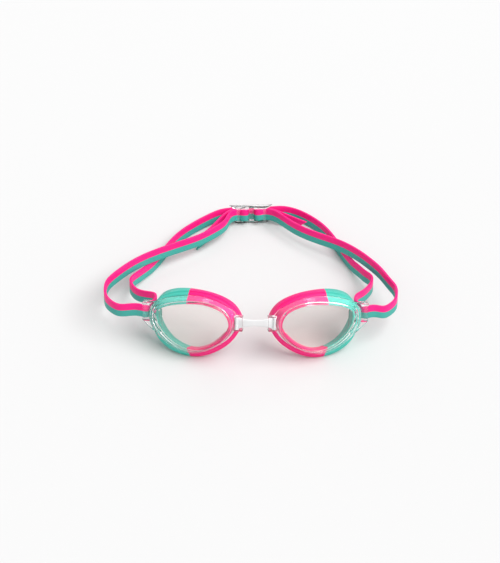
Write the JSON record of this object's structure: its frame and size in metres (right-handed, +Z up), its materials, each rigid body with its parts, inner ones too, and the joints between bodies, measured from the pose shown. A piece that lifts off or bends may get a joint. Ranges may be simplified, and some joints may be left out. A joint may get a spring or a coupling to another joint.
{
  "type": "swimming goggles",
  "caption": "Racing swim goggles with clear eyecups, two-colour seals and strap, white nose bridge and clear rear buckle.",
  "frame": {"origin": "middle of the whole object's footprint, on the table that it stands on", "axes": "+X to the wearer's left, -Y forward through the lenses, +Z up"},
  "size_m": [0.2076, 0.1573, 0.0462],
  "materials": {
    "lens": "clear, faint rose smoke tint",
    "clear_plastic": "clear gloss polycarbonate",
    "pink_silicone": "soft satin silicone",
    "teal_silicone": "soft satin silicone",
    "white_plastic": "satin white",
    "strap_pink": "satin silicone",
    "strap_teal": "satin silicone"
  },
  "bodies": {
    "bridge_and_strap": {"nose_bridge": "white_plastic", "strap_upper": "strap_pink", "strap_lower": "strap_teal"},
    "left_eyecup": {"left_lens": "lens", "left_frame": "clear_plastic", "left_gasket_nasal": "pink_silicone", "left_gasket_temple": "teal_silicone"},
    "right_eyecup": {"right_lens": "lens", "right_frame": "clear_plastic", "right_gasket_nasal": "pink_silicone", "right_gasket_temple": "teal_silicone"},
    "buckle": {"buckle": "clear_plastic"}
  },
  "joints": [
    {"name": "left_eyecup_flex", "type": "hinge", "parent": "bridge_and_strap", "child": "left_eyecup", "pos_m": [0.01607, -0.06875, 0.03289], "axis": [0, 0.4226, 0.9063], "range_deg": [-8, 8], "stiffness_Nm_per_rad": 0.6, "deforming": ["strap_upper", "strap_lower"]},
    {"name": "right_eyecup_flex", "type": "hinge", "parent": "bridge_and_strap", "child": "right_eyecup", "pos_m": [-0.00947, -0.06875, 0.03289], "axis": [0, 0.4226, 0.9063], "range_deg": [-8, 8], "stiffness_Nm_per_rad": 0.6, "deforming": ["strap_upper", "strap_lower"]},
    {"name": "buckle_slide", "type": "slide", "parent": "bridge_and_strap", "child": "buckle", "axis": [0.9986, 0.0523, 0], "range_m": [-0.004, 0.004], "deforming": ["strap_upper", "strap_lower"]}
  ]
}
